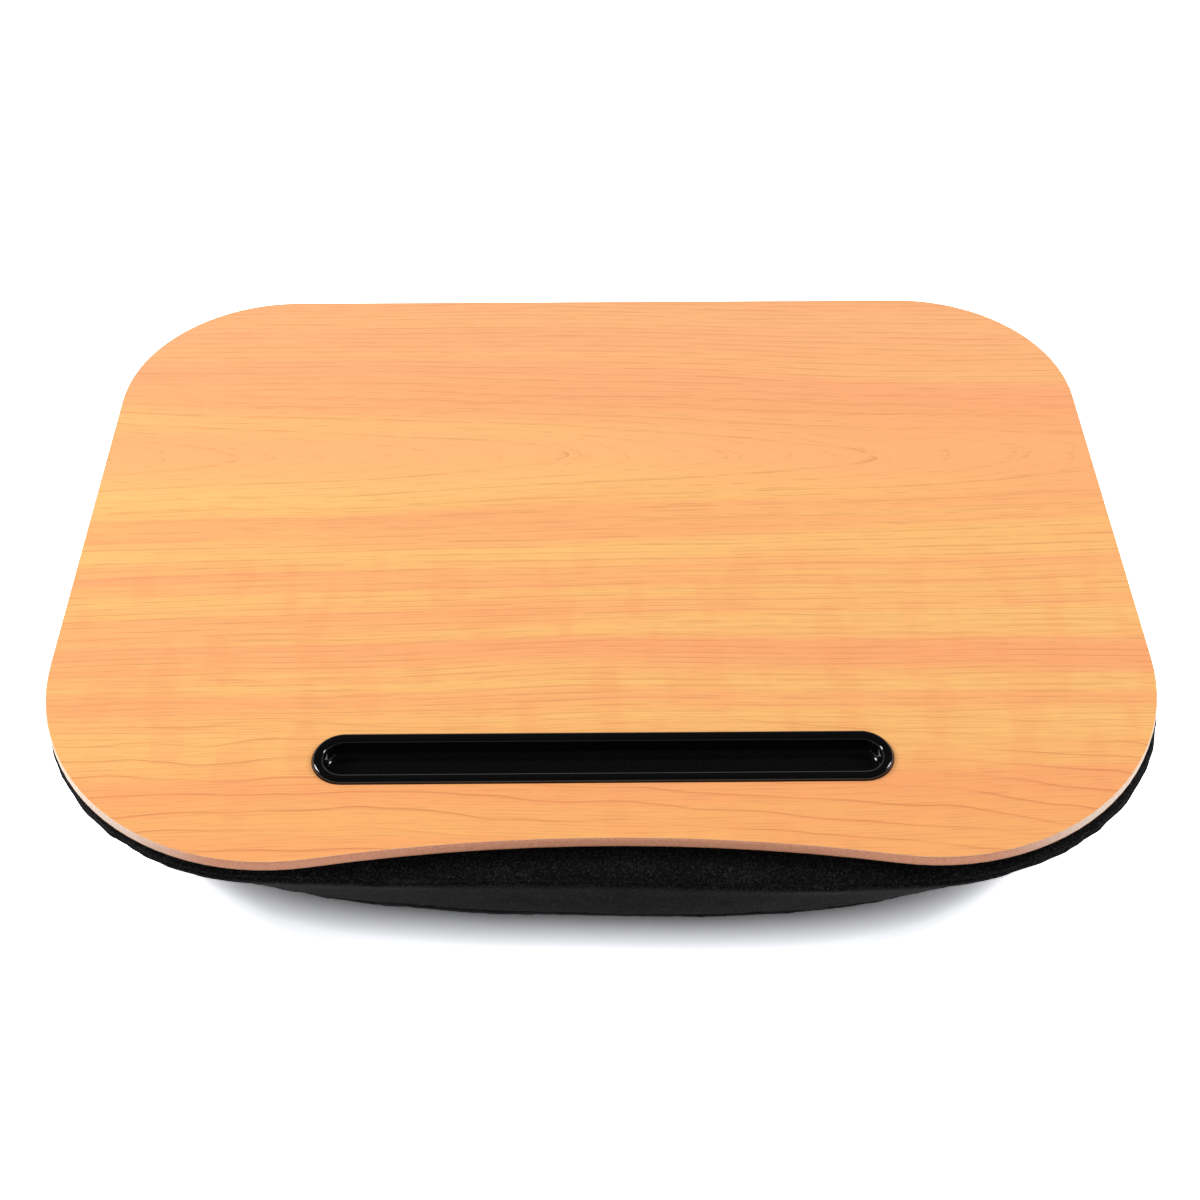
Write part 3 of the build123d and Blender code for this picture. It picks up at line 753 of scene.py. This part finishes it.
# How far the sewn cover stands out beyond the swollen form, by height above the floor
STAND_OUT = (
    (0.000, 0.0112),
    (0.003, 0.0103),
    (0.006, 0.0046),
    (0.010, 0.0012),
    (LOWER_SEAM, 0.0000),
    (0.020, 0.0002),
    (ZIP_HEIGHT, 0.0006),
    (0.036, 0.0010),
    (UPPER_SEAM, 0.0032),
    (0.046, 0.0026),
    (0.050, 0.0012),
)


def bring_out(form):
    """Brings the sides out to the cover's sewn size, and further at the front right, where the beads have slid."""
    spots = places(form)
    x, y, z = spots.T
    outward = normals(form)[:, :2]
    level = np.linalg.norm(outward, axis=1)
    heights, steps = zip(*STAND_OUT)
    step = np.interp(z, heights, steps)
    slid = ramp(x, -0.02, 0.10) * (1 - 0.62 * ramp(x, 0.125, 0.175)) * ramp(-y, 0.05, 0.13)
    step += SLID_BEADS * slid * ramp(z, 0.0, 0.005)
    spots[:, :2] += outward / np.maximum(level, TINY)[:, None] * (step * ramp(level, 0.05, 0.5))[:, None]
    put(form, spots)


def even_rings(form):
    """Evens the sides along their level rings, in and out by turns so that the form keeps its size."""
    spots = places(form)
    ends = np.array([edge.vertices for edge in form.data.edges])
    on_side = np.linalg.norm(normals(form)[:, :2], axis=1) > 0.3
    level = abs(spots[ends[:, 0], 2] - spots[ends[:, 1], 2]) < 0.0016
    ends = ends[level & on_side[ends[:, 0]] & on_side[ends[:, 1]]]
    one, other = np.vstack((ends, ends[:, ::-1])).T
    count = np.bincount(one, minlength=len(spots))
    met = count > 1
    for share in (0.5, -0.52) * EVENINGS:
        middle = np.zeros((len(spots), 2))
        np.add.at(middle, one, spots[other, :2])
        middle = middle[met] / count[met, None]
        spots[met, :2] += (middle - spots[met, :2]) * share
    put(form, spots)


def move_back(obj, step):
    """Moves the back of the form out by step, or in if step is below 0."""
    spots = places(obj)
    spots[:, 1] += step * ramp(spots[:, 1], 0.08, 0.16)
    put(obj, spots)


def make_form():
    """The closed form that the cover, the bag and the beads are all made from."""
    form = copy_of_node("bead_filling", "cushion_form")
    form.data.remesh_voxel_size = FORM_CELL
    pick(form)
    bpy.ops.object.voxel_remesh()
    finish_modifier(form, "SMOOTH", iterations=3, factor=0.5)
    finish_modifier(form, "DISPLACE", strength=COVER_OVER_BEADS, mid_level=0.0)
    move_back(form, BACK_STEP)
    swell(form, SWELL_MOST)
    bring_out(form)
    even_rings(form)
    finish_modifier(form, "SUBSURF", levels=1, render_levels=1)
    return form


def inner_form(form, name, inset):
    """A smaller copy of the form, for what is inside the cover."""
    obj = copy_of_piece(form, name)
    finish_modifier(obj, "DECIMATE", ratio=0.4)
    finish_modifier(obj, "DISPLACE", strength=-inset, mid_level=0.0)
    move_back(obj, -BACK_STEP)
    spots = places(obj)
    spots[:, 2] = np.clip(spots[:, 2], inset + HAIR, CUSHION_TOP - inset - HAIR)
    put(obj, spots)
    smooth(obj, 180)
    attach(obj, "cushion")
    return obj


def cut_seams(cover):
    """Runs three close rings of edges along each seam, and cuts out the zip's window."""
    for seam in (LOWER_SEAM, UPPER_SEAM):
        for off in (-SEAM_RING, 0, SEAM_RING):
            edit(cover, everything=True)
            cut(height=seam + off)
            close_edit()
    for width in (-ZIP_HALF_LENGTH, ZIP_HALF_LENGTH):
        edit(cover)
        select_faces(cover, lambda c: c.y > BACK_ZONE and 0.010 < c.z < 0.047)
        cut(width=width)
        close_edit()
    for off in (-ZIP_SLOT_HALF, ZIP_SLOT_HALF):
        edit(cover)
        select_faces(cover, lambda c: c.y > BACK_ZONE and abs(c.x) < ZIP_HALF_LENGTH)
        cut(height=ZIP_HEIGHT + off)
        close_edit()


def unevenness(spots, often):
    """Smooth noise at each spot, with often spots of it per metre along X, Y and Z."""
    return np.array([noise.noise(Vector(spot)) for spot in spots * often])


def shape_cover(cover):
    """Pressed top, flat seat for the zip, seam valleys, and the slight waver and lint of loose cloth."""
    spots = places(cover)
    press_top(spots)
    flatten_zip_seat(spots)
    outward = normals(cover)
    x, y, z = spots.T
    for seam, depth in VALLEYS:
        valley = np.exp(-(((z - seam) / VALLEY_HALF_WIDTH) ** 2))
        side = 1 - ramp(abs(outward[:, 2]), 0.93, 0.99)
        spots -= outward * (valley * side * depth)[:, None]
    loose = (1 - ramp(z, 0.030, 0.042)) * (1 - ramp(y, 0.13, 0.16) * (1 - ramp(abs(x), 0.13, 0.16)))
    loose *= ramp(z, 0.0005, 0.006)
    for often, most in (((38, 38, 30), WAVER), ((290, 290, 290), LINT)):
        spots += outward * (unevenness(spots, often) * loose * most)[:, None]
    put(cover, spots)


def in_zip_panel(c):
    return c.y > BACK_ZONE and abs(c.x) < ZIP_HALF_LENGTH and LOWER_SEAM < c.z < UPPER_SEAM


PANELS = {
    "felt_top_panel": ("cover_top_panel", lambda c: c.z > UPPER_SEAM),
    "felt_bottom_panel": ("cover_bottom_panel", lambda c: c.z < LOWER_SEAM),
    "felt_zip_panel_upper": ("zip_panel_upper", lambda c: in_zip_panel(c) and c.z > ZIP_HEIGHT + ZIP_SLOT_HALF),
    "felt_zip_panel_lower": ("zip_panel_lower", lambda c: in_zip_panel(c) and c.z < ZIP_HEIGHT - ZIP_SLOT_HALF),
    "felt_side_band": ("cover_side_band", lambda c: LOWER_SEAM < c.z < UPPER_SEAM and not in_zip_panel(c)),
}


def make_panel(cover, name, node, belongs):
    """One panel of the cover, cut from the whole and given the felt's thickness."""
    panel = copy_of_piece(cover, name)
    edit(panel)
    select_faces(panel, lambda c: not belongs(c))
    bpy.ops.mesh.delete(type="FACE")
    close_edit()
    finish_modifier(panel, "SOLIDIFY", thickness=FELT_THICKNESS, offset=-1, use_even_offset=False)
    smooth(panel, 55)
    dress(panel, "felt")
    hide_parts(node)
    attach(panel, "cushion")


def make_cushion():
    form = make_form()
    bag = inner_form(form, "bead_bag_cloth", BAG_INSET)
    finish_modifier(bag, "SOLIDIFY", thickness=BAG_THICKNESS, offset=-1)
    dress(bag, "bag")
    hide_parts("bead_bag")
    beads = inner_form(form, "loose_beads", BEADS_INSET)
    dress(beads, "beads")
    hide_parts("bead_filling")
    cut_seams(form)
    shape_cover(form)
    for name, (node, belongs) in PANELS.items():
        make_panel(form, name, node, belongs)
    bpy.data.objects.remove(form)


# Sewing thread: the rows beside the zip and round the loop strips

STITCH_EVERY = 0.0032
STITCH_LENGTH = 0.0025
STITCH_FLAT_HALF = 0.0007
STITCH_END = 0.001
STITCH_DIP = 0.0003
THREAD_RADIUS = 0.00027
ZIP_ROW_OFF = 0.0074
ZIP_HALF_COUNT = 36
SEWN_HALF_LENGTH = 0.058
SEWN_HALF_WIDTH = 0.0106
LONG_HALF_COUNT = 18
SHORT_HALF_COUNT = 2


def make_stitch(name):
    """One stitch along X: a short six-sided thread that dips into the cloth at both ends."""
    along_x = (0, math.pi / 2, 0)
    bpy.ops.mesh.primitive_cylinder_add(vertices=6, radius=THREAD_RADIUS, depth=STITCH_LENGTH, rotation=along_x)
    stitch = bpy.context.object
    stitch.name = name
    settle(stitch)
    for width in (-STITCH_FLAT_HALF, STITCH_FLAT_HALF):
        edit(stitch, everything=True)
        cut(width=width)
        close_edit()
    edit(stitch)
    select_points(stitch, lambda p: abs(p.x) > STITCH_END)
    bpy.ops.transform.resize(value=(1, 0.55, 0.55))
    close_edit()
    return stitch


def sew(name, spots, body):
    """Sets a stitch at each spot, given as x, y, z, turn about Z and the way to the cloth, and joins them."""
    first = make_stitch(name)
    copies = []
    for number, (x, y, z, turn, inwards) in enumerate(spots):
        stitch = copy_of_piece(first, name + "_" + str(number))
        for point in stitch.data.vertices:
            dip = Vector(inwards) * (STITCH_DIP if abs(point.co.x) > STITCH_END else 0)
            cosine, sine = math.cos(turn), math.sin(turn)
            px, py, pz = point.co
            point.co = Vector((x + px * cosine - py * sine, y + px * sine + py * cosine, z + pz)) + dip
        copies.append(stitch)
    bpy.data.objects.remove(first)
    deselect()
    for stitch in copies:
        stitch.select_set(True)
    bpy.context.view_layer.objects.active = copies[0]
    bpy.ops.object.join()
    row = bpy.context.object
    row.name = name
    smooth(row, 50)
    dress(row, "thread")
    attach(row, body)


def make_zip_stitches():
    spots = []
    for side in (-1, 1):
        height = ZIP_HEIGHT + ZIP_ROW_OFF * side
        for number in range(-ZIP_HALF_COUNT, ZIP_HALF_COUNT + 1):
            spots.append((number * STITCH_EVERY, back_face(ZIP_ROW_OFF), height, 0.0, (0, -1, 0)))
    sew("zip_topstitches", spots, "cushion")


def make_strip_stitches():
    height = strips_high[2] - HAIR
    down = (0, 0, -1)
    spots = []
    for middle_x in (-STRIP_X, STRIP_X):
        for middle_y in (STRIP_ROWS_MIDDLE - STRIP_ROW_OFF, STRIP_ROWS_MIDDLE + STRIP_ROW_OFF):
            for side in (-1, 1):
                y = middle_y + SEWN_HALF_WIDTH * side
                for number in range(-LONG_HALF_COUNT, LONG_HALF_COUNT + 1):
                    spots.append((middle_x + number * STITCH_EVERY, y, height, 0.0, down))
                x = middle_x + SEWN_HALF_LENGTH * side
                for number in range(-SHORT_HALF_COUNT, SHORT_HALF_COUNT + 1):
                    spots.append((x, middle_y + number * STITCH_EVERY, height, math.pi / 2, down))
    sew("strip_topstitches", spots, "cushion")


make_board()
make_pen_tray()
make_cushion()
make_zip_stitches()
make_strip_stitches()


# The floor, the lights and the camera

PAPER_WHITE = 0.87
PAST_WHITE = 2.9
CLOSE_SHADOW = 0.014
EVEN_LIGHT = 0.53


def make_floor():
    """A white sweep, exposed past white to the camera as in a studio, so that only the close shadow shows.

    Under the cushion's edge, within CLOSE_SHADOW of the cloth, its colour is darkened further by ambient occlusion,
    as painted shade.
    """
    bpy.ops.mesh.primitive_plane_add(size=14, location=(0, 0, -HAIR))
    floor = bpy.context.object
    floor.name = "studio_floor"
    material, tree = new_material("white_studio_sweep")
    seen = add(tree, "LightPath", give="Is Camera Ray")
    for ray in ("Is Glossy Ray", "Is Transmission Ray"):
        seen = add(tree, "Math", {0: seen, 1: add(tree, "LightPath", give=ray)}, operation="MAXIMUM")
    white = add(tree, "Math", {0: seen, 1: PAST_WHITE, 2: PAPER_WHITE}, operation="MULTIPLY_ADD")
    # Painted shade: ambient occlusion darkens the floor's colour within CLOSE_SHADOW of the cushion
    close = add(tree, "AmbientOcclusion", {"Distance": CLOSE_SHADOW}, give="AO")
    white = add(tree, "Math", {0: white, 1: close}, operation="MULTIPLY")
    cool = add(tree, "VectorMath", {0: (0.97, 0.98, 1.01), "Scale": white}, operation="SCALE")
    paper = add(tree, "BsdfDiffuse", {"Color": cool})
    add(tree, "OutputMaterial", {"Surface": paper})
    floor.data.materials.append(material)


def make_world():
    """Even studio air: white to the camera, and white low down and dark overhead to glossy surfaces."""
    world = bpy.data.worlds.new("studio")
    bpy.context.scene.world = world
    world.use_nodes = True
    tree = world.node_tree
    tree.nodes.clear()
    seen = add(tree, "LightPath", give="Is Camera Ray")
    glossy = add(tree, "LightPath", give="Is Glossy Ray")
    diffuse = add(tree, "LightPath", give="Is Diffuse Ray")
    through = add(tree, "LightPath", give="Is Transmission Ray")
    where = add(tree, "TexCoord", give="Generated")
    up = add(tree, "SeparateXYZ", {"Vector": where}, give="Z")
    low = add(tree, "MapRange", {"Value": up, "From Min": 0.08, "From Max": 0.35, "To Min": 1.0, "To Max": 0.03})
    strength = add(tree, "Math", {0: glossy, 1: low, 2: seen}, operation="MULTIPLY_ADD")
    strength = add(tree, "Math", {0: diffuse, 1: EVEN_LIGHT, 2: strength}, operation="MULTIPLY_ADD")
    strength = add(tree, "Math", {0: strength, 1: through}, operation="MAXIMUM")
    air = add(tree, "Background", {"Color": colour("#FFFFFF"), "Strength": strength})
    add(tree, "OutputWorld", {"Surface": air})


def add_softbox(name, place, size, power):
    bpy.ops.object.light_add(type="AREA", location=place)
    lamp = bpy.context.object
    lamp.name = name
    lamp.data.shape = "RECTANGLE"
    lamp.data.size, lamp.data.size_y = size
    lamp.data.energy = power
    lamp.rotation_euler = (Vector((0, 0, 0.03)) - Vector(place)).to_track_quat("-Z", "Y").to_euler()


def make_camera():
    """The camera's place, way and lens, as solved from the photo."""
    bpy.ops.object.camera_add(location=(-0.005597, -0.60093, 0.63658))
    camera = bpy.context.object
    camera.name = "camera"
    way = Vector((0.00634601, 0.69488973, -0.71908831))
    camera.rotation_euler = way.to_track_quat("-Z", "Y").to_euler()
    camera.data.sensor_width = 36
    camera.data.lens = 53.86
    bpy.context.scene.camera = camera


make_floor()
make_world()
add_softbox("softbox_left", (-1.3, 0.3, 0.95), (0.40, 0.55), 14.9)
add_softbox("softbox_right", (1.35, 0.25, 0.95), (0.36, 0.50), 10.3)
make_camera()
bpy.context.scene.view_settings.view_transform = "Standard"
